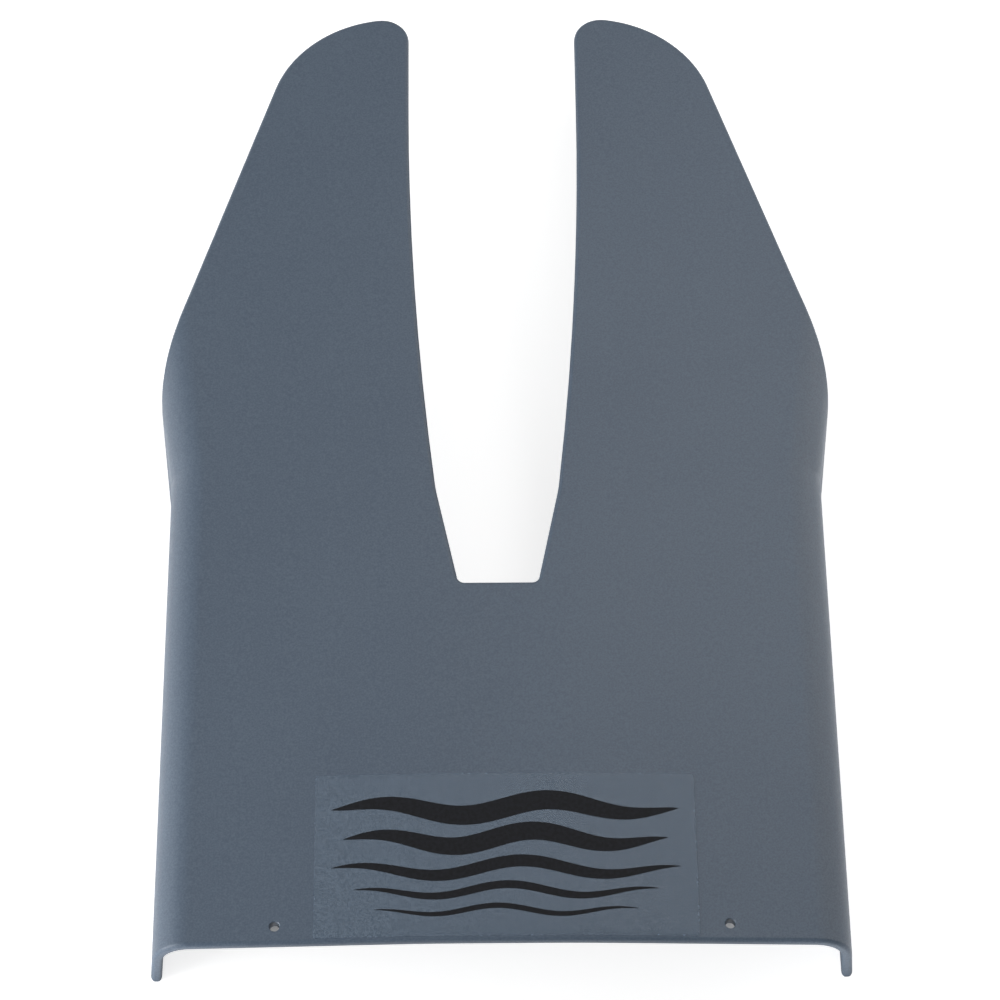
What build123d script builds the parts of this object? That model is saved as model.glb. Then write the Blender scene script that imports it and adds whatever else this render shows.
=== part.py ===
from build123d import *
import math
import os

# Outboard hydrofoil: one folded aluminium sheet that slides around the leg of an outboard motor.
# Millimetres. +X to starboard, +Y forward (the way the open slot points), +Z up.
# The sheet is drawn with Y = 0 at its trailing edge and Z = 0 on top of its flat middle strip;
# both pieces are then lowered into the part's frame, whose origin is the bottom centre.

SHEET = 5.5               # sheet thickness
LENGTH = 571.5            # trailing edge to arm tips, along Y
FOLD_X = 152.4            # centre plane to the line where a side starts to fold
FOLD_R = 19.8             # outside radius of the fold
FOLD_ANGLE = 82.4         # angle the sheet turns through in the fold
FIN_STRAIGHT = 23.3       # flat part of a fin, below its fold
FIN_LENGTH = 273.8        # lower edge of a fin, from the trailing edge to the knee

# Crown: a flat strip down the middle, a large rolled radius on each side, then straight slopes.
FLAT_HALF = 20.0
CROWN_ANGLE = 2.24
CROWN_SLOPE = 97.0        # width of the straight slope, inboard of the fold

# The blank's straight swept edge runs from the knee to this far inboard of the fold line, tip level.
SWEEP_INSET = 45.9

# Ahead of the knee the fold opens: its start runs outward and its radius grows.
FOLD_TOE = 6.7            # angle of the fold line to Y, ahead of the knee
FOLD_R_GROWTH = 0.037     # added outside radius for each millimetre ahead of the knee

# Slot for the motor's leg.
SLOT_END_Y = 201.4
SLOT_END_HALF = 20.5
SLOT_END_R = 4.0
THROAT_ANGLE = 11.45      # taper of the throat, each side
THROAT_BLEND = 60.0
SLOT_HALF = 46.6          # half width at the arms
SLOT_ARC_R = 2170.0       # long arc of the slot's sides
ARM_STRAIGHT = 62.0       # straight inner edge of an arm, from that arc to the tip

# Rounded arm tip: a small inner arc inside a big outer arc.
TIP_R = 67.0
TIP_INNER_R = 15.8

# Two fixing holes near the trailing edge.
HOLE_D = 5.0
HOLE_HALF_SPACING = 110.8
HOLE_Y = 9.3

EDGE_R = 2.2              # softened edges of the blank
RIM = 0.4                 # bevelled rims of the fixing holes

# Clear label film.
FILM = 0.2
FILM_SIZE = (188.0, 88.5)
FILM_CENTRE = (2.0, 46.5)

SEAM_X = FOLD_X - 10.0    # where the plate and the folded sides join in the model
CUT = 3.0                 # how far a cutting surface stands clear of the sheet


def polar(angle):
    """Unit normal of a surface that slopes down by this angle, and the direction down the slope."""
    a = math.radians(angle)
    return (math.sin(a), math.cos(a)), (math.cos(a), -math.sin(a))


def crown_end():
    """Point on the top where the rolled radius gives way to the straight slope."""
    _, nz = polar(CROWN_ANGLE)[0]
    return FOLD_X - CROWN_SLOPE, CROWN_R * (nz - 1)


def on_slope(x):
    """Height of the top at a distance x from the centre plane, on the straight slope."""
    cx, cz = crown_end()
    return cz - (x - cx) * math.tan(math.radians(CROWN_ANGLE))


def sweep_x(y):
    """Distance of the swept edge from the centre plane, measured on the flat blank."""
    return SWEEP_TIP_X + (LENGTH - y) * math.tan(math.radians(SWEEP_ANGLE))


def fold_x(y):
    """Start of the fold at a station ahead of the knee."""
    return FOLD_X + (y - FIN_LENGTH) * math.tan(math.radians(FOLD_TOE))


def fold_r(y):
    return FOLD_R + (y - FIN_LENGTH) * FOLD_R_GROWTH


def arc_length(radius):
    """Length of the fold on the sheet's middle surface."""
    return (radius - SHEET / 2) * math.radians(FOLD_ANGLE)


# Radius that rolls the crown between its flat strip and its slopes.
CROWN_R = (FOLD_X - CROWN_SLOPE - FLAT_HALF) / math.sin(math.radians(CROWN_ANGLE))
# The swept edge meets the lower edge of the fin at the knee.
SWEEP_TIP_X = FOLD_X - SWEEP_INSET
BLANK_HALF = FOLD_X + arc_length(FOLD_R) + FIN_STRAIGHT
SWEEP_ANGLE = math.degrees(math.atan((BLANK_HALF - SWEEP_TIP_X) / (LENGTH - FIN_LENGTH)))
SLOT_ARC_Y = LENGTH - ARM_STRAIGHT
# Ahead of this station the swept edge is inboard of the seam, and the sheet is only plate.
NOSE_Y = LENGTH - (SEAM_X - SWEEP_TIP_X) / math.tan(math.radians(SWEEP_ANGLE)) + 4.0


def skin(y, u):
    """Top of a side at station y, u millimetres of blank beyond the fold's start.

    Gives the point, the sheet's normal there, and the normal turned back by the crown's slope,
    which the profile cut follows so that it meets the plate's upright cut.
    """
    x, r = fold_x(y), fold_r(y)
    (n0x, n0z), _ = polar(CROWN_ANGLE)
    if u <= 0:
        return (x + u, y, on_slope(x + u)), (n0x, 0, n0z), (0, 0, 1)
    turn = min(math.degrees(u / (r - SHEET / 2)), FOLD_ANGLE)
    rest = max(0.0, u - arc_length(r))
    (nx, nz), (dx, dz) = polar(CROWN_ANGLE + turn)
    (cx, cz), _ = polar(turn * (1 + CROWN_ANGLE / FOLD_ANGLE))
    point = (x + r * (nx - n0x) + rest * dx, y, on_slope(x) + r * (nz - n0z) + rest * dz)
    return point, (nx, 0, nz), (cx, 0, cz)


def shifted(point, normal, depth):
    return tuple(p - depth * n for p, n in zip(point, normal))


def side_section(y):
    """Cross-section of a side at station y, from the seam to the lower edge of the fin."""
    arc = arc_length(fold_r(y))
    top, low = [], []
    for u in (SEAM_X - fold_x(y), 0.0, arc / 2, arc, arc + FIN_STRAIGHT):
        point, normal, _ = skin(y, u)
        top.append(point)
        low.append(shifted(point, normal, SHEET))
    edges = [Line(top[0], top[1]), ThreePointArc(top[1], top[2], top[3]), Line(top[3], top[4])]
    edges += [Line(top[4], low[4]), Line(low[4], low[3]), ThreePointArc(low[3], low[2], low[1])]
    edges += [Line(low[1], low[0]), Line(low[0], top[0])]
    return make_face(edges)


def plate_section(lower, upper):
    """Crowned cross-section of the plate between two depths below its top."""
    cx, cz = crown_end()
    (nx, nz), _ = polar(CROWN_ANGLE)
    (mx, mz), _ = polar(CROWN_ANGLE / 2)

    def right(depth):
        """Flat, rolled and sloping runs of one surface, from the centre plane out."""
        r = CROWN_R - depth
        end = (cx - depth * nx, 0, cz - depth * nz)
        mid = (FLAT_HALF + r * mx, 0, CROWN_R * -1 + r * mz)
        out = (SEAM_X - depth * nx, 0, on_slope(SEAM_X) - depth * nz)
        return [(FLAT_HALF, 0, -depth), mid, end, out]

    edges = []
    for depth in (upper, lower):
        flat, mid, end, out = right(depth)
        for s in (1, -1):
            a, b, c, d = [(s * p[0], p[1], p[2]) for p in (flat, mid, end, out)]
            edges += [ThreePointArc(a, b, c), Line(c, d)]
        edges.append(Line((-flat[0], 0, -depth), flat))
    for s in (1, -1):
        a, b = right(upper)[3], right(lower)[3]
        edges.append(Line((s * a[0], 0, a[2]), (s * b[0], 0, b[2])))
    return make_face(edges)


def slot_half(y):
    """Half width of the slot where its side is the long arc."""
    return SLOT_HALF - SLOT_ARC_R + math.sqrt(SLOT_ARC_R ** 2 - (SLOT_ARC_Y - y) ** 2)


def throat_half(y):
    return SLOT_END_HALF + (y - SLOT_END_Y) * math.tan(math.radians(THROAT_ANGLE))


def kink_y():
    """Where the throat's straight taper meets the long arc, found by halving."""
    low, high = SLOT_END_Y, (SLOT_END_Y + SLOT_ARC_Y) / 2
    while high - low > 1e-6:
        mid = (low + high) / 2
        if throat_half(mid) < slot_half(mid):
            low = mid
        else:
            high = mid
    return low


def tip_centre():
    """Centre of the big tip arc, which touches the swept edge and runs into the inner arc."""
    a = math.radians(SWEEP_ANGLE)
    gap = TIP_R - TIP_INNER_R
    y = LENGTH - TIP_R
    for _ in range(60):
        x = sweep_x(y) - TIP_R / math.cos(a)
        y = LENGTH - TIP_INNER_R - math.sqrt(gap ** 2 - (SLOT_HALF + TIP_INNER_R - x) ** 2)
    return x, y


def around(centre, radius, angle):
    return centre[0] + radius * math.cos(angle), centre[1] + radius * math.sin(angle)


def half_outline():
    """Plan of the blank on the starboard side, with its slot and rounded arm tip."""
    inner = (SLOT_HALF + TIP_INNER_R, LENGTH - TIP_INNER_R)
    outer = tip_centre()
    sweep = math.radians(SWEEP_ANGLE)
    join = math.atan2(inner[1] - outer[1], inner[0] - outer[0])
    kink = (slot_half(kink_y()), kink_y())
    mid_y = (kink_y() + SLOT_ARC_Y) / 2
    side = FOLD_X + 60.0
    side_y = LENGTH - (side - SWEEP_TIP_X) / math.tan(sweep)
    edges = [
        Line((0, 0), (0, SLOT_END_Y)),
        Line((0, SLOT_END_Y), (SLOT_END_HALF, SLOT_END_Y)),
        Line((SLOT_END_HALF, SLOT_END_Y), kink),
        ThreePointArc(kink, (slot_half(mid_y), mid_y), (SLOT_HALF, SLOT_ARC_Y)),
        Line((SLOT_HALF, SLOT_ARC_Y), (SLOT_HALF, inner[1])),
        ThreePointArc((SLOT_HALF, inner[1]), around(inner, TIP_INNER_R, (math.pi + join) / 2),
                      around(inner, TIP_INNER_R, join)),
        ThreePointArc(around(outer, TIP_R, join), around(outer, TIP_R, (join + sweep) / 2),
                      around(outer, TIP_R, sweep)),
        Line(around(outer, TIP_R, sweep), (side, side_y)),
        Line((side, side_y), (side, 0)),
        Line((side, 0), (0, 0)),
    ]
    face = make_face(edges)
    for point, radius in (((SLOT_END_HALF, SLOT_END_Y), SLOT_END_R), (kink, THROAT_BLEND)):
        corner = face.vertices().sort_by_distance((point[0], point[1], 0))[0]
        face = fillet(corner, radius)
    return face


def blank_prism(bottom, height):
    half = extrude(Pos(0, 0, bottom) * half_outline(), amount=height)
    return half + mirror(half, Plane.YZ)


def plate():
    """The plate between the folds, cut to the blank's plan."""
    slab = extrude(plate_section(SHEET, 0), amount=LENGTH + 5, dir=(0, 1, 0))
    return slab & blank_prism(-40, 60)


def swept_cut():
    """Surface that carries the blank's straight swept edge down through the opening fold."""
    steps = 24
    pitch = (NOSE_Y + 2.0 - FIN_LENGTH) / steps
    stations = [FIN_LENGTH + pitch * i for i in range(-1, steps + 1)]
    above, below = [], []
    for y in stations:
        point, _, cut = skin(y, sweep_x(y) - fold_x(y))
        above.append(shifted(point, cut, -CUT))
        below.append(shifted(point, cut, SHEET + CUT))
    rails = [Edge.make_spline([Vector(*p) for p in rail], parameters=stations) for rail in (above, below)]
    return Face.make_surface_from_curves(*rails)


def fold_side():
    """Starboard fold and fin: a plain fold behind the knee, an opening one ahead of it."""
    rear = extrude(side_section(FIN_LENGTH), amount=FIN_LENGTH, dir=(0, -1, 0))
    front = loft([side_section(FIN_LENGTH), side_section(NOSE_Y)], ruled=True)
    inner = front.split(swept_cut(), keep=Keep.ALL).sort_by(Axis.X)[0]
    return rear + inner


def cut_edges(sheet):
    """Edges where the profile-cut faces, which are as narrow as the sheet, meet the broad ones."""
    count = {}
    for face in sheet.faces():
        if face.area < 0.53 * SHEET * sum(e.length for e in face.edges()):
            for edge in face.edges():
                count[edge] = count.get(edge, 0) + 1
    return [edge for edge, times in count.items() if times == 1]


def hole_rims(sheet):
    """Upper and lower rims of the fixing holes: closed edges centred on a hole's axis."""
    rims = []
    for edge in sheet.edges():
        centre = edge.center(CenterOf.BOUNDING_BOX)
        if abs(abs(centre.X) - HOLE_HALF_SPACING) < RIM and abs(centre.Y - HOLE_Y) < RIM:
            rims.append(edge)
    return rims


def foil_plate():
    """The whole sheet: plate, folds, fins, soft edges and the two fixing holes with bevelled rims."""
    side = fold_side()
    sheet = plate() + side + mirror(side, Plane.YZ)
    sheet = fillet(cut_edges(sheet), EDGE_R)
    for s in (1, -1):
        x = s * HOLE_HALF_SPACING
        sheet -= Pos(x, HOLE_Y, -SHEET) * Cylinder(HOLE_D / 2, 6 * SHEET)
    return chamfer(hole_rims(sheet), RIM)


def label_film():
    """Clear film that lies on the crown."""
    skin_slab = extrude(plate_section(0, -FILM), amount=LENGTH, dir=(0, 1, 0))
    x, y = FILM_CENTRE
    return skin_slab & Pos(x, y, 0) * Box(FILM_SIZE[0], FILM_SIZE[1], 60)


def main():
    sheet = foil_plate()
    place = Pos(0, -LENGTH / 2, -sheet.bounding_box().min.Z)
    os.makedirs("parts", exist_ok=True)
    for name, solid in (("foil_plate", sheet), ("label_film", label_film())):
        moved = place * solid
        export_step(moved, f"parts/{name}.step")
        print(name, moved.is_valid, moved.volume, len(moved.solids()), moved.bounding_box())


main()
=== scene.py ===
# %% [markdown]
# # Outboard hydrofoil in powder-coated aluminium
# The part is one folded sheet with a clear label film on its rear end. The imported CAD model
# is the fixed frame: it gives the sheet's exact shape, and this lesson adds the finish, the
# film, the camera and the light. Loading comes first, because everything is placed by it.

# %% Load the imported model
import math

import bmesh
import bpy
import numpy as np
from mathutils import Matrix, Vector


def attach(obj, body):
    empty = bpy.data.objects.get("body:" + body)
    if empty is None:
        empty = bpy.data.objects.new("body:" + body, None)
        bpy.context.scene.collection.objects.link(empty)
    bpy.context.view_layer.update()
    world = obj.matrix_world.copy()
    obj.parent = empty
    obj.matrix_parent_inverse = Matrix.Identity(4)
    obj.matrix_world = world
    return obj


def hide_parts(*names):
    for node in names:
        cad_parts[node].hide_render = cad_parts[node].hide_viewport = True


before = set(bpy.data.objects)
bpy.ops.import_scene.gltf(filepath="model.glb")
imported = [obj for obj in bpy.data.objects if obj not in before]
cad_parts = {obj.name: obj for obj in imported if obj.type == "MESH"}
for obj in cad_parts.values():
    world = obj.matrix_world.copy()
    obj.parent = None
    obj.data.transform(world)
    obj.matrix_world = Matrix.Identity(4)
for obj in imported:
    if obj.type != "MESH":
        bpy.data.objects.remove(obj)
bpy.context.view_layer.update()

MM = 0.001
scene = bpy.context.scene

# %% [markdown]
# ## The camera
# Once the part's size is chosen, a photograph fixes its camera: the edges only line up from
# one place. The camera could be aimed at the object by eye, but then they would miss by many
# pixels. Here its place, its three turns and its focal length come from fitting the sheet's
# outline to the picture, so they are written as they were solved.

# %% Place the camera
CAMERA_AT = (-22.27, -1032.56, 1658.32)   # millimetres
PITCH_DOWN, YAW, ROLL = 58.2616, 1.3616, 0.8425   # degrees
FOCAL = 3646.8                            # in pixels of a picture 1000 wide
SENSOR = 36.0


def camera_matrix(at, pitch, yaw, roll):
    """Axes of a camera that looks forward and down by pitch, turned right by yaw, then rolled."""
    p, w, r = (math.radians(a) for a in (pitch, yaw, roll))
    forward = Vector((math.sin(w) * math.cos(p), math.cos(w) * math.cos(p), -math.sin(p)))
    right = Vector((math.cos(w), -math.sin(w), 0))
    up = right.cross(forward)
    side = right * math.cos(r) + up * math.sin(r)
    top = up * math.cos(r) - right * math.sin(r)
    columns = Matrix((side, top, -forward)).transposed().to_4x4()
    return Matrix.Translation(Vector(at) * MM) @ columns


camera = bpy.data.objects.new("camera", bpy.data.cameras.new("camera"))
scene.collection.objects.link(camera)
camera.data.sensor_width = SENSOR
camera.data.lens = FOCAL * SENSOR / 1000
camera.data.clip_start, camera.data.clip_end = 0.05, 60
camera.matrix_world = camera_matrix(CAMERA_AT, PITCH_DOWN, YAW, ROLL)
scene.camera = camera
print("focal length, mm:", round(camera.data.lens, 2))

# %% [markdown]
# ## Small tools for node materials
# Each finish below is a tree of shader nodes. A helper that adds a node, sets its sockets
# and joins it to others in one line keeps the recipes short enough to read.

# %% Helpers for nodes
NOISE_SPAN = (0.3, 0.7)      # nearly all of a noise lies between these


def new_material(name):
    """An empty material with its Principled shader and output joined up."""
    material = bpy.data.materials.new(name)
    material.use_nodes = True
    tree = material.node_tree
    tree.nodes.clear()
    shader = tree.nodes.new("ShaderNodeBsdfPrincipled")
    output = tree.nodes.new("ShaderNodeOutputMaterial")
    tree.links.new(shader.outputs[0], output.inputs["Surface"])
    return material, tree, shader


def node(tree, kind, settings=None, **sockets):
    """Adds one node; sockets are given by name with _ for spaces, as a value or a link."""
    made = tree.nodes.new("ShaderNode" + kind)
    for key, value in (settings or {}).items():
        setattr(made, key, value)
    for key, value in sockets.items():
        socket = made.inputs[key.replace("_", " ")]
        if isinstance(value, bpy.types.NodeSocket):
            tree.links.new(value, socket)
        else:
            socket.default_value = value
    return made


def maths(tree, operation, a, b=0.0):
    """What one maths node makes of a and b, each of them a value or a link."""
    made = tree.nodes.new("ShaderNodeMath")
    made.operation = operation
    for socket, value in zip(made.inputs, (a, b)):
        if isinstance(value, bpy.types.NodeSocket):
            tree.links.new(value, socket)
        else:
            socket.default_value = value
    return made.outputs[0]


def remap(tree, value, low, high, to_low=0.0, to_high=1.0):
    """value between low and high, stretched to run from to_low to to_high and held there."""
    made = node(tree, "MapRange", {"interpolation_type": "SMOOTHSTEP"}, Value=value, From_Min=low,
                From_Max=high, To_Min=to_low, To_Max=to_high)
    return made.outputs[0]


def mixed(tree, factor, a, b):
    """Colour a where factor is 0 and b where it is 1."""
    made = tree.nodes.new("ShaderNodeMix")
    made.data_type = "RGBA"
    for socket, value in ((made.inputs[0], factor), (made.inputs[6], a), (made.inputs[7], b)):
        if isinstance(value, bpy.types.NodeSocket):
            tree.links.new(value, socket)
        else:
            socket.default_value = value
    return made.outputs[2]


def noise(tree, place, scale, detail, roughness=0.5):
    """Noise at place, about 0.5 on average; a higher scale gives finer grains."""
    made = node(tree, "TexNoise", Vector=place, Scale=scale, Detail=detail, Roughness=roughness)
    return made.outputs[0]


def beyond(tree, place, half, centre):
    """How far place lies outside a rectangle: the larger of |x| - half width and |y| - half depth.

    half and centre are in millimetres; the result is in metres and negative inside.
    """
    parts = node(tree, "SeparateXYZ", Vector=place)
    gaps = []
    for axis in (0, 1):
        away = maths(tree, "SUBTRACT", parts.outputs[axis], centre[axis] * MM)
        gaps.append(maths(tree, "SUBTRACT", maths(tree, "ABSOLUTE", away), half[axis] * MM))
    return maths(tree, "MAXIMUM", *gaps)


print("helpers ready")

# %% [markdown]
# ## Powder coat
# The sheet's finish is a satin blue-grey powder coat. Powder melts into a skin that is never
# quite flat: a fine pebbled bump under a millimetre across lies on longer, gentler waves. Its
# colour is even, but small grains of it are a little lighter or darker, and its gloss varies
# too. One noise could stand for all of it, but then the grain would vanish at one distance or
# look like hammering at another, so several sizes of noise are mixed.

# %% Material of the sheet
COAT_DARK = (0.058, 0.085, 0.127, 1)
COAT_LIGHT = (0.092, 0.127, 0.173, 1)
TONE_SHARES = (0.15, 0.22, 0.63)      # of the clouds, the mottle and the grain
TONE_SPAN = (0.34, 0.66)              # of their sum, from the dark grey to the light one
COAT_ROUGHNESS = (0.40, 0.50)
COAT_BUMP = 0.00012                   # metres
BUMP_STRENGTH = 0.14
GRAIN_IN_BUMP = 0.35                  # height of the grain, where the long waves have 1


def powder_coat():
    """Two close greys mixed by three noises; mottle sets the gloss, grain and peel the bump."""
    material, tree, shader = new_material("blue_grey_powder_coat")
    place = node(tree, "TexCoord").outputs["Object"]
    cloud = noise(tree, place, 9.0, 3.0)
    mottle = noise(tree, place, 420.0, 3.0, 0.6)
    grain = noise(tree, place, 1100.0, 2.0, 0.55)
    peel = noise(tree, place, 160.0, 2.0, 0.45)
    tone = 0.0
    for share, pattern in zip(TONE_SHARES, (cloud, mottle, grain)):
        tone = maths(tree, "ADD", tone, maths(tree, "MULTIPLY", pattern, share))
    colour = mixed(tree, remap(tree, tone, *TONE_SPAN), COAT_DARK, COAT_LIGHT)
    tree.links.new(colour, shader.inputs["Base Color"])
    roughness = remap(tree, mottle, *NOISE_SPAN, *COAT_ROUGHNESS)
    tree.links.new(roughness, shader.inputs["Roughness"])
    height = maths(tree, "ADD", maths(tree, "MULTIPLY", grain, GRAIN_IN_BUMP), peel)
    bump = node(tree, "Bump", Height=height, Strength=BUMP_STRENGTH, Distance=COAT_BUMP)
    tree.links.new(bump.outputs[0], shader.inputs["Normal"])
    shader.inputs["IOR"].default_value = 1.5
    shader.inputs["Specular IOR Level"].default_value = 0.5
    return material


coat = powder_coat()
print("powder coat nodes:", len(coat.node_tree.nodes))

# %% [markdown]
# ## The folded sheet
# The CAD node is already the real shape, cut edges rounded and all, so it stays. What it
# lacks is soft shading: it comes as loose triangles, and each would show as a flat facet in
# the fold's highlight. A new mesh could replace it, but a modifier is enough: it merges the
# triangles' corners, shades every face smooth, and keeps an edge hard only where its two
# faces meet at a steep angle, as at the rims of the holes.

# %% Smooth shading for the sheet
HARD_EDGE = math.radians(40)


def soft_shading(piece, angle):
    """Geometry nodes that weld corners, smooth all faces, and split the shading above angle.

    A second modifier then turns the corners' normals towards the larger faces.
    """
    group = bpy.data.node_groups.new("soft_shading", "GeometryNodeTree")
    group.interface.new_socket("Geometry", in_out="INPUT", socket_type="NodeSocketGeometry")
    group.interface.new_socket("Geometry", in_out="OUTPUT", socket_type="NodeSocketGeometry")
    nodes, links = group.nodes, group.links
    start, end = nodes.new("NodeGroupInput"), nodes.new("NodeGroupOutput")
    weld = nodes.new("GeometryNodeMergeByDistance")
    weld.inputs["Distance"].default_value = 2e-6
    faces = nodes.new("GeometryNodeSetShadeSmooth")
    faces.domain = "FACE"
    edges = nodes.new("GeometryNodeSetShadeSmooth")
    edges.domain = "EDGE"
    steep = nodes.new("GeometryNodeInputMeshEdgeAngle")
    test = nodes.new("FunctionNodeCompare")
    test.operation = "GREATER_THAN"
    test.inputs["B"].default_value = angle
    edges.inputs["Shade Smooth"].default_value = False
    links.new(start.outputs[0], weld.inputs["Geometry"])
    links.new(weld.outputs[0], faces.inputs["Geometry"])
    links.new(faces.outputs[0], edges.inputs["Geometry"])
    links.new(steep.outputs["Unsigned Angle"], test.inputs["A"])
    links.new(test.outputs[0], edges.inputs["Selection"])
    links.new(edges.outputs[0], end.inputs[0])
    piece.modifiers.new("soft_shading", "NODES").node_group = group
    weighted = piece.modifiers.new("even_normals", "WEIGHTED_NORMAL")
    weighted.keep_sharp = True
    weighted.weight = 100


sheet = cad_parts["foil_plate"]
sheet.data.materials.clear()
sheet.data.materials.append(coat)
soft_shading(sheet, HARD_EDGE)
print("sheet triangles:", len(sheet.data.polygons))

# %% [markdown]
# ## The surface that the film lies on
# The film and its print follow the sheet's crown. They could be projected on the CAD mesh,
# but the crown has a plain formula: flat in the middle, then a large radius on each side
# that gives way to a straight slope. Written once, it carries every thin piece at its own
# height above the sheet.

# %% Height of the crown
SHEET_TOP = 45.940       # millimetres above the floor, in the middle
FLAT_HALF = 20.0
CROWN_R = 905.7
CROWN_ANGLE = math.radians(2.24)
TRAILING_EDGE = -285.75


def crown(x):
    """Top of the sheet at x: level for |x| under FLAT_HALF, then an arc of CROWN_R that turns
    through CROWN_ANGLE, then a straight slope at that angle.
    """
    out = np.maximum(np.abs(x) - FLAT_HALF, 0.0)
    arc = np.minimum(out, CROWN_R * math.sin(CROWN_ANGLE))
    on_arc = SHEET_TOP - CROWN_R + np.sqrt(CROWN_R ** 2 - arc ** 2)
    return on_arc - (out - arc) * math.tan(CROWN_ANGLE)


def grid_mesh(name, points, smooth=True):
    """Closed skin of quads through points, each row of them joined in a ring.

    points is rows x columns x 3 in millimetres. Points that share a place are merged, so that
    pinched ends close, and faces are turned outwards.
    """
    rows, columns, _ = points.shape
    index = np.arange(rows * columns).reshape(rows, columns)
    index = np.hstack([index, index[:, :1]])
    corners = [index[:-1, :-1], index[:-1, 1:], index[1:, 1:], index[1:, :-1]]
    quads = np.stack(corners, -1).reshape(-1, 4)
    mesh = bpy.data.meshes.new(name)
    mesh.from_pydata((points.reshape(-1, 3) * MM).tolist(), [], quads.tolist())
    work = bmesh.new()
    work.from_mesh(mesh)
    bmesh.ops.remove_doubles(work, verts=work.verts, dist=1e-6)
    bmesh.ops.dissolve_degenerate(work, edges=work.edges, dist=1e-7)
    bmesh.ops.recalc_face_normals(work, faces=work.faces)
    work.to_mesh(mesh)
    work.free()
    mesh.polygons.foreach_set("use_smooth", np.full(len(mesh.polygons), smooth))
    mesh.update()
    piece = bpy.data.objects.new(name, mesh)
    scene.collection.objects.link(piece)
    return piece


print("crown falls by", round(float(SHEET_TOP - crown(94.0)), 2), "mm, 94 mm from the middle")

# %% [markdown]
# ## The clear film
# The label is a clear film, taken as 0.2 mm thick. Its outline has small round corners and
# its rim is rolled over. It could be the CAD solid, but that one shares its underside with
# the sheet, and two faces in one place flicker. So the film is made again as one closed skin,
# a hair above the sheet: thin sections across it, set side by side along the crown.

# %% Shape of the film
FILM_SIZE = (188.0, 88.5)
FILM_CENTRE = (2.0, TRAILING_EDGE + 46.5)
FILM_LOW, FILM_HIGH = 0.02, 0.19          # above the crown
FILM_CORNER = 1.6


def film_skin():
    """Sections across the film: a flat loop with half-round ends, as long as the outline is there.

    The outline's half height at x is that of a rounded rectangle. Near the two far ends the loop
    also thins out on a half circle, so that the rim is rolled over all the way round.
    """
    half_w, half_h = FILM_SIZE[0] / 2, FILM_SIZE[1] / 2
    roll = (FILM_HIGH - FILM_LOW) / 2
    quarter = np.sin(np.linspace(0, math.pi / 2, 8)[1:])
    run = np.linspace(0, half_w - FILM_CORNER, 48)
    bend = half_w - FILM_CORNER + (FILM_CORNER - roll) * quarter
    right = np.concatenate([run, bend, half_w - roll + roll * quarter])
    x = np.concatenate([-right[:0:-1], right])[:, None]
    past_corner = np.maximum(np.abs(x) - (half_w - FILM_CORNER), 0)
    height = half_h - FILM_CORNER + np.sqrt(np.maximum(FILM_CORNER ** 2 - past_corner ** 2, 0))
    past_roll = np.maximum(np.abs(x) - (half_w - roll), 0) / roll
    swell = np.sqrt(np.maximum(1 - past_roll ** 2, 0))
    flat = np.linspace(-1, 1, 25)
    turn = np.radians(np.linspace(-90, 90, 7)[1:-1])
    side = np.concatenate([flat, np.ones(5), -flat, -np.ones(5)])
    out = np.concatenate([0 * flat, np.cos(turn), 0 * flat, -np.cos(turn)])
    lift = np.concatenate([0 * flat - 1, np.sin(turn), 0 * flat + 1, -np.sin(turn)])
    y = side * (height - roll) + out * roll
    z = FILM_LOW + roll + lift * roll * swell
    x = x + 0 * y + FILM_CENTRE[0]
    return np.stack([x, y + FILM_CENTRE[1], crown(x) + z], -1)


film = grid_mesh("clear_film", film_skin())
print("film faces:", len(film.data.polygons))

# %% [markdown]
# ## Clear vinyl
# Seen from above, the film barely shows: it is a touch lighter than the coat under it, its
# haze has a fine sparkling grain, and a few lighter specks along its rim are painted glints.
# Glass with refraction would do it too, but a film this thin bends nothing that can be seen,
# so an alpha is enough: its top and its underside are each half see-through, with the grain
# in the other half.

# %% Material of the film
HAZE = 0.50                           # the part of each face that isn't see-through
HAZE_DARK = (0.143, 0.199, 0.274, 1)
HAZE_LIGHT = (0.223, 0.293, 0.384, 1)
HAZE_SPAN = (0.36, 0.66)              # of the speckle, from the dark haze to the light one
RIM_BAND = (-0.0010, -0.0002)         # metres from the outline; the painted glints grow across it
GLINT_SPAN = (0.60, 0.70)               # of the beads, from no painted glint to a full one
GLINT_HAZE = 0.25                       # what a full painted glint adds to the haze
FILM_ROUGHNESS = (0.22, 0.38)
FILM_BUMP = 0.0001                    # metres
FILM_BUMP_STRENGTH = 0.3


def clear_vinyl():
    """A hazy, grained skin; each of its faces lets half through, and less at the painted glints on
    its rim.
    """
    material, tree, shader = new_material("clear_vinyl")
    place = node(tree, "TexCoord").outputs["Object"]
    outside = beyond(tree, place, (FILM_SIZE[0] / 2, FILM_SIZE[1] / 2), FILM_CENTRE)
    speck = noise(tree, place, 800.0, 2.0, 0.6)
    beads = noise(tree, place, 380.0, 2.0, 0.6)
    haze = mixed(tree, remap(tree, speck, *HAZE_SPAN), HAZE_DARK, HAZE_LIGHT)
    tree.links.new(haze, shader.inputs["Base Color"])
    # painted glints: specks along the rim where more of the lighter haze shows
    rim = maths(tree, "MULTIPLY", remap(tree, outside, *RIM_BAND),
                remap(tree, beads, *GLINT_SPAN, 0.0, GLINT_HAZE))
    tree.links.new(maths(tree, "ADD", rim, HAZE), shader.inputs["Alpha"])
    shader.inputs["IOR"].default_value = 1.45
    roughness = remap(tree, speck, *NOISE_SPAN, *FILM_ROUGHNESS)
    tree.links.new(roughness, shader.inputs["Roughness"])
    bump = node(tree, "Bump", Height=beads, Strength=FILM_BUMP_STRENGTH, Distance=FILM_BUMP)
    tree.links.new(bump.outputs[0], shader.inputs["Normal"])
    return material


film.data.materials.append(clear_vinyl())
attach(film, "root")
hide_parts("label_film")

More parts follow.
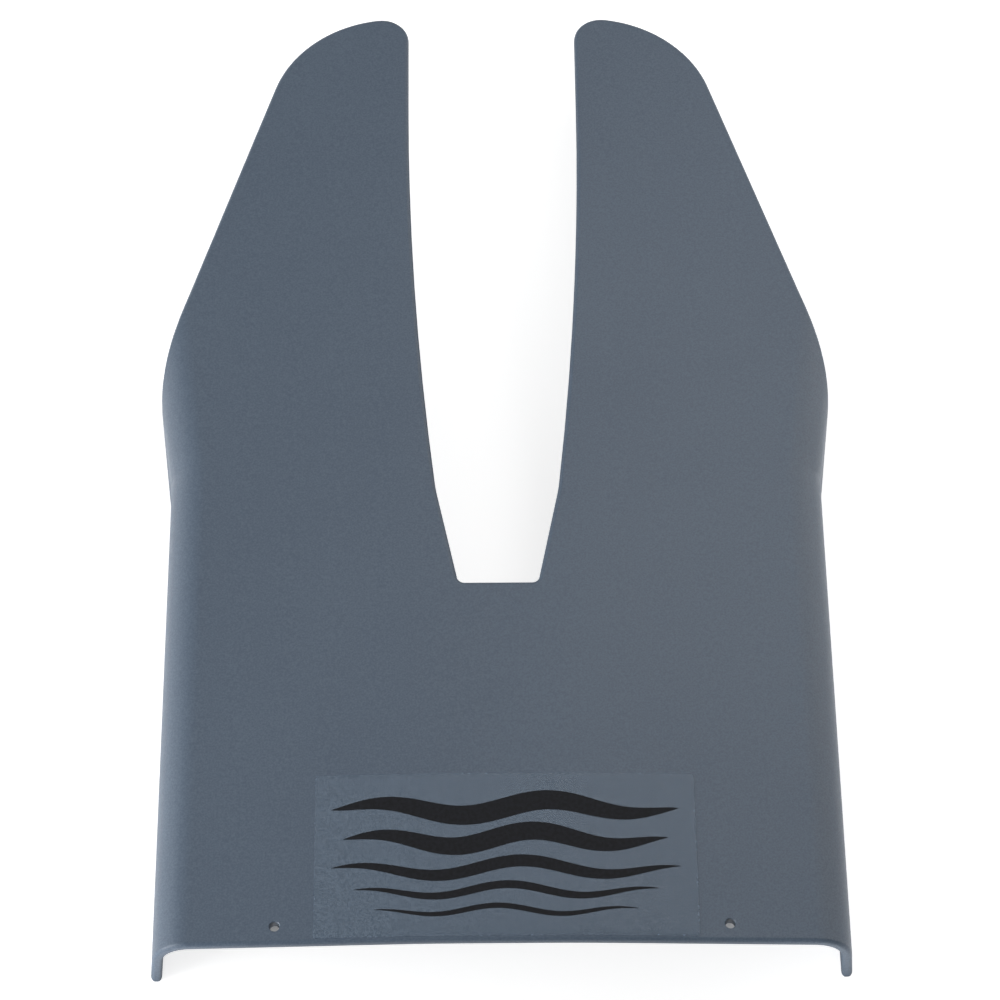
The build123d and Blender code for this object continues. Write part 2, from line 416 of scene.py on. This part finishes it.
# %% [markdown]
# ## Plain wave stripes
# The film carries black print. This part has no maker, so its print is a plain band of
# waves, like trim on a boat. It could be painted by the film's own nodes, but fine edges
# blur when a material is baked to an image; ribbons of mesh stay sharp. Each ribbon is a
# strip along a sine wave that swells in the middle and comes to a point at both ends.

# %% Shape of the print
INK_LOW, INK_HIGH = FILM_HIGH + 0.01, FILM_HIGH + 0.05
SWELL_REACH = 2.6        # higher: the ribbon stays thick for longer
SWELL_POINT = 0.85       # higher: its ends are sharper
END_WAVE = 0.35          # the share of the waves' depth that is left at the ends


def wave_ribbon(name, width, lift, depth, waves, thick, lean):
    """A ribbon along y = lift + depth * sine of x, with a number of whole waves.

    Towards both ends the waves grow lower and the thickness falls to nothing.
    """
    t = np.linspace(-1, 1, 361)
    x = t * width / 2
    swell = np.clip(1 - np.abs(t) ** SWELL_REACH, 0, 1) ** SWELL_POINT
    wave = np.sin(t * math.pi * waves + lean)
    y = lift + depth * wave * (END_WAVE + (1 - END_WAVE) * swell)
    slope = np.gradient(y, x)
    across = np.stack([-slope, np.ones_like(slope)], -1) / np.hypot(slope, 1)[:, None]
    half = (thick / 2 * swell)[:, None] * across
    middle = np.stack([x, y], -1)
    low_side, high_side = middle - half, middle + half
    plan = np.stack([low_side, high_side, high_side, low_side], 1)
    points = np.empty((len(t), 4, 3))
    points[..., :2] = plan + np.array(FILM_CENTRE)
    points[..., 2] = crown(points[..., 0]) + np.array([INK_HIGH, INK_HIGH, INK_LOW, INK_LOW])
    return grid_mesh(name, points, smooth=False)


RIBBONS = (   # width, lift, depth, waves, thickness, lean
    (172.0, 25.0, 4.2, 2.0, 10.8, 0.0),
    (160.0, 8.0, 4.2, 2.0, 10.0, 0.5),
    (172.0, -8.0, 4.0, 2.0, 6.5, 1.0),
    (150.0, -20.0, 3.2, 2.0, 4.2, 1.5),
    (130.0, -30.5, 2.4, 2.0, 2.8, 2.0),
)

# %% [markdown]
# ## Black ink
# The print is a flat black that has soaked up some dust: never quite black, nearly without
# gloss, and a little uneven where the ink was laid thin.

# %% Material of the print
INK_DARK = (0.007, 0.0075, 0.009, 1)
INK_LIGHT = (0.014, 0.0145, 0.018, 1)
INK_SPAN = (0.35, 0.65)               # of the noise, from the dark ink to the light one
INK_ROUGHNESS = (0.5, 0.65)
INK_GLOSS = 0.12


def black_ink():
    """Near black with fine unevenness in colour and gloss."""
    material, tree, shader = new_material("black_ink")
    place = node(tree, "TexCoord").outputs["Object"]
    fine = noise(tree, place, 500.0, 3.0)
    colour = mixed(tree, remap(tree, fine, *INK_SPAN), INK_DARK, INK_LIGHT)
    tree.links.new(colour, shader.inputs["Base Color"])
    roughness = remap(tree, fine, *NOISE_SPAN, *INK_ROUGHNESS)
    tree.links.new(roughness, shader.inputs["Roughness"])
    shader.inputs["Specular IOR Level"].default_value = INK_GLOSS
    return material


ink = black_ink()
for number, values in enumerate(RIBBONS):
    ribbon = wave_ribbon(f"wave_stripe_{number}", *values)
    ribbon.data.materials.append(ink)
    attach(ribbon, "root")
print("wave stripes:", len(RIBBONS))

# %% [markdown]
# ## The floor
# The photograph is a cut-out on white. The floor is plain and pale and keeps the shadow. It
# could be white by its lamps alone, but then they would burn out the sheet. So its white is
# its own: it glows to the camera and to the sheet's gloss, which gives the folds their sheen,
# but the glow lights no matt surface. The gloss sees none of it in the sheet's own shade. A
# stretch glows little, so that the two holes look through to grey; this camera sees it only
# there, but from behind the slot shows it too, as a grey patch with a hard edge.

# %% Floor
FLOOR_REACH = 20.0            # metres
FLOOR_GLOW = 0.76             # near the sheet, where its shadow has to show
FAR_GLOW = 0.24               # added further out, where the floor fades to the white behind it
FADE_BAND = (0.5, 1.8)        # metres from the middle; the glow rises across it
GLOSS_GLOW = 1.04             # what the sheet's own gloss sees of the floor
SHADE_HALF = (150.0, 85.0)    # the stretch under the sheet that glows little
SHADE_CENTRE = (0.0, -178.0)
SHADE_LEFT = 0.18             # the share of the glow that is left there
SHADE_BAND = (-0.004, 0.0)    # metres from its rim, where its own glow changes to the floor's
UNDER_HALF = (178.0, 286.0)   # the sheet's own shade, which its gloss sees dark
UNDER_BAND = (-0.010, 0.015)  # metres from that shade's rim, where it fades out


def seen_by_eye(tree):
    """1 for rays that the camera sends straight or through the clear film, 0 for all others."""
    return node(tree, "LightPath").outputs["Is Camera Ray"]


def seen_in_gloss(tree, amount):
    """amount for rays that leave a glossy surface, 0 for all others."""
    return maths(tree, "MULTIPLY", node(tree, "LightPath").outputs["Is Glossy Ray"], amount)


def pale_floor():
    """Matt grey that also glows: one strength for the eye, another for the sheet's gloss."""
    material = bpy.data.materials.new("pale_floor")
    material.use_nodes = True
    tree = material.node_tree
    tree.nodes.clear()
    place = node(tree, "TexCoord").outputs["Object"]
    away = node(tree, "VectorMath", {"operation": "LENGTH"}, Vector=place).outputs["Value"]
    fade = remap(tree, away, *FADE_BAND, FLOOR_GLOW, FLOOR_GLOW + FAR_GLOW)
    shade = beyond(tree, place, SHADE_HALF, SHADE_CENTRE)
    fade = maths(tree, "MULTIPLY", fade, remap(tree, shade, *SHADE_BAND, SHADE_LEFT, 1.0))
    under = beyond(tree, place, UNDER_HALF, (0.0, 0.0))
    in_open = remap(tree, under, *UNDER_BAND, 0.0, GLOSS_GLOW)
    to_eye = maths(tree, "MULTIPLY", seen_by_eye(tree), fade)
    strength = maths(tree, "ADD", to_eye, seen_in_gloss(tree, in_open))
    matt = node(tree, "BsdfDiffuse", Color=(0.8, 0.8, 0.8, 1))
    glow = node(tree, "Emission", Color=(1, 1, 1, 1), Strength=strength)
    both = node(tree, "AddShader")
    tree.links.new(matt.outputs[0], both.inputs[0])
    tree.links.new(glow.outputs[0], both.inputs[1])
    tree.links.new(both.outputs[0], node(tree, "OutputMaterial").inputs["Surface"])
    return material


floor_mesh = bpy.data.meshes.new("floor")
signs = ((-1, -1), (1, -1), (1, 1), (-1, 1))
floor_corners = [(x * FLOOR_REACH, y * FLOOR_REACH, 0) for x, y in signs]
floor_mesh.from_pydata(floor_corners, [], [(0, 1, 2, 3)])
floor = bpy.data.objects.new("floor", floor_mesh)
scene.collection.objects.link(floor)
floor_mesh.materials.append(pale_floor())
print("floor, metres across:", 2 * FLOOR_REACH)

# %% [markdown]
# ## The light
# The light is soft and strongest from the left. A picture of a studio wrapped round the scene
# could give it, but a few large panels do, and each can be set by itself. Their strengths were
# solved for the tones that the sheet shows from the camera. The air is white to the eye and to
# the gloss only. Two small cards behind the fins stand in for the light that a lit floor
# would throw on their cut ends.

# %% World and lamps
SKY_IN_GLOSS = 0.88
CARD_SIZE = 0.04              # metres
CARD_BEHIND = 60.0            # millimetres behind the trailing edge
CARD_HEIGHT = 22.0            # millimetres above the floor, to the card's middle
PANELS = (   # name, compass angle, height angle, distance, size, watts
    ("panel_front_right_high", 30, 60, 1.1, 0.7, 2.5),
    ("panel_front_left_high", -50, 60, 1.6, 0.9, 1.4),
    ("panel_right_high", 60, 45, 1.6, 0.9, 3.7),
    ("panel_right_low", 70, 25, 1.5, 0.9, 0.4),
    ("panel_right_lowest", 60, 15, 1.5, 0.9, 3.8),
    ("panel_left", -60, 15, 1.5, 0.9, 0.3),
    ("panel_left_near", -75, 12, 1.0, 0.7, 1.0),
    ("panel_rear_left_high", -110, 20, 1.5, 0.9, 15.5),
    ("panel_rear_left", -130, 8, 1.5, 0.9, 9.8),
)
CARDS = (("card_left", -178.0, 0.025), ("card_right", 178.0, 0.020))   # name, x, watts

world = bpy.data.worlds.new("studio")
scene.world = world
world.use_nodes = True
tree = world.node_tree
tree.nodes.clear()
strength = maths(tree, "ADD", seen_by_eye(tree), seen_in_gloss(tree, SKY_IN_GLOSS))
air = node(tree, "Background", Color=(1, 1, 1, 1), Strength=strength)
tree.links.new(air.outputs[0], node(tree, "OutputWorld").inputs["Surface"])


def square_lamp(name, at, aim, up, size, power):
    """A square area lamp at a place in metres, facing along aim."""
    lamp = bpy.data.lights.new(name, "AREA")
    lamp.shape = "SQUARE"
    lamp.size = size
    lamp.energy = power
    thing = bpy.data.objects.new(name, lamp)
    scene.collection.objects.link(thing)
    thing.location = at
    thing.rotation_euler = aim.to_track_quat("-Z", up).to_euler()
    return thing


for name, azimuth, height, distance, size, power in PANELS:
    a, h = math.radians(azimuth), math.radians(height)
    at = Vector((math.sin(a) * math.cos(h), math.cos(a) * math.cos(h), math.sin(h))) * distance
    square_lamp(name, at, -at, "Y", size, power)
for name, x, power in CARDS:
    at = Vector((x, TRAILING_EDGE - CARD_BEHIND, CARD_HEIGHT)) * MM
    card = square_lamp(name, at, Vector((0, 1, 0)), "Z", CARD_SIZE, power)
    card.visible_camera = card.visible_glossy = False
print("panels and cards:", len(PANELS), len(CARDS))

# %% [markdown]
# ## Picture settings
# The plain Standard view keeps colours as they are written.

# %% View and sizes
scene.view_settings.view_transform = "Standard"
bpy.context.view_layer.update()
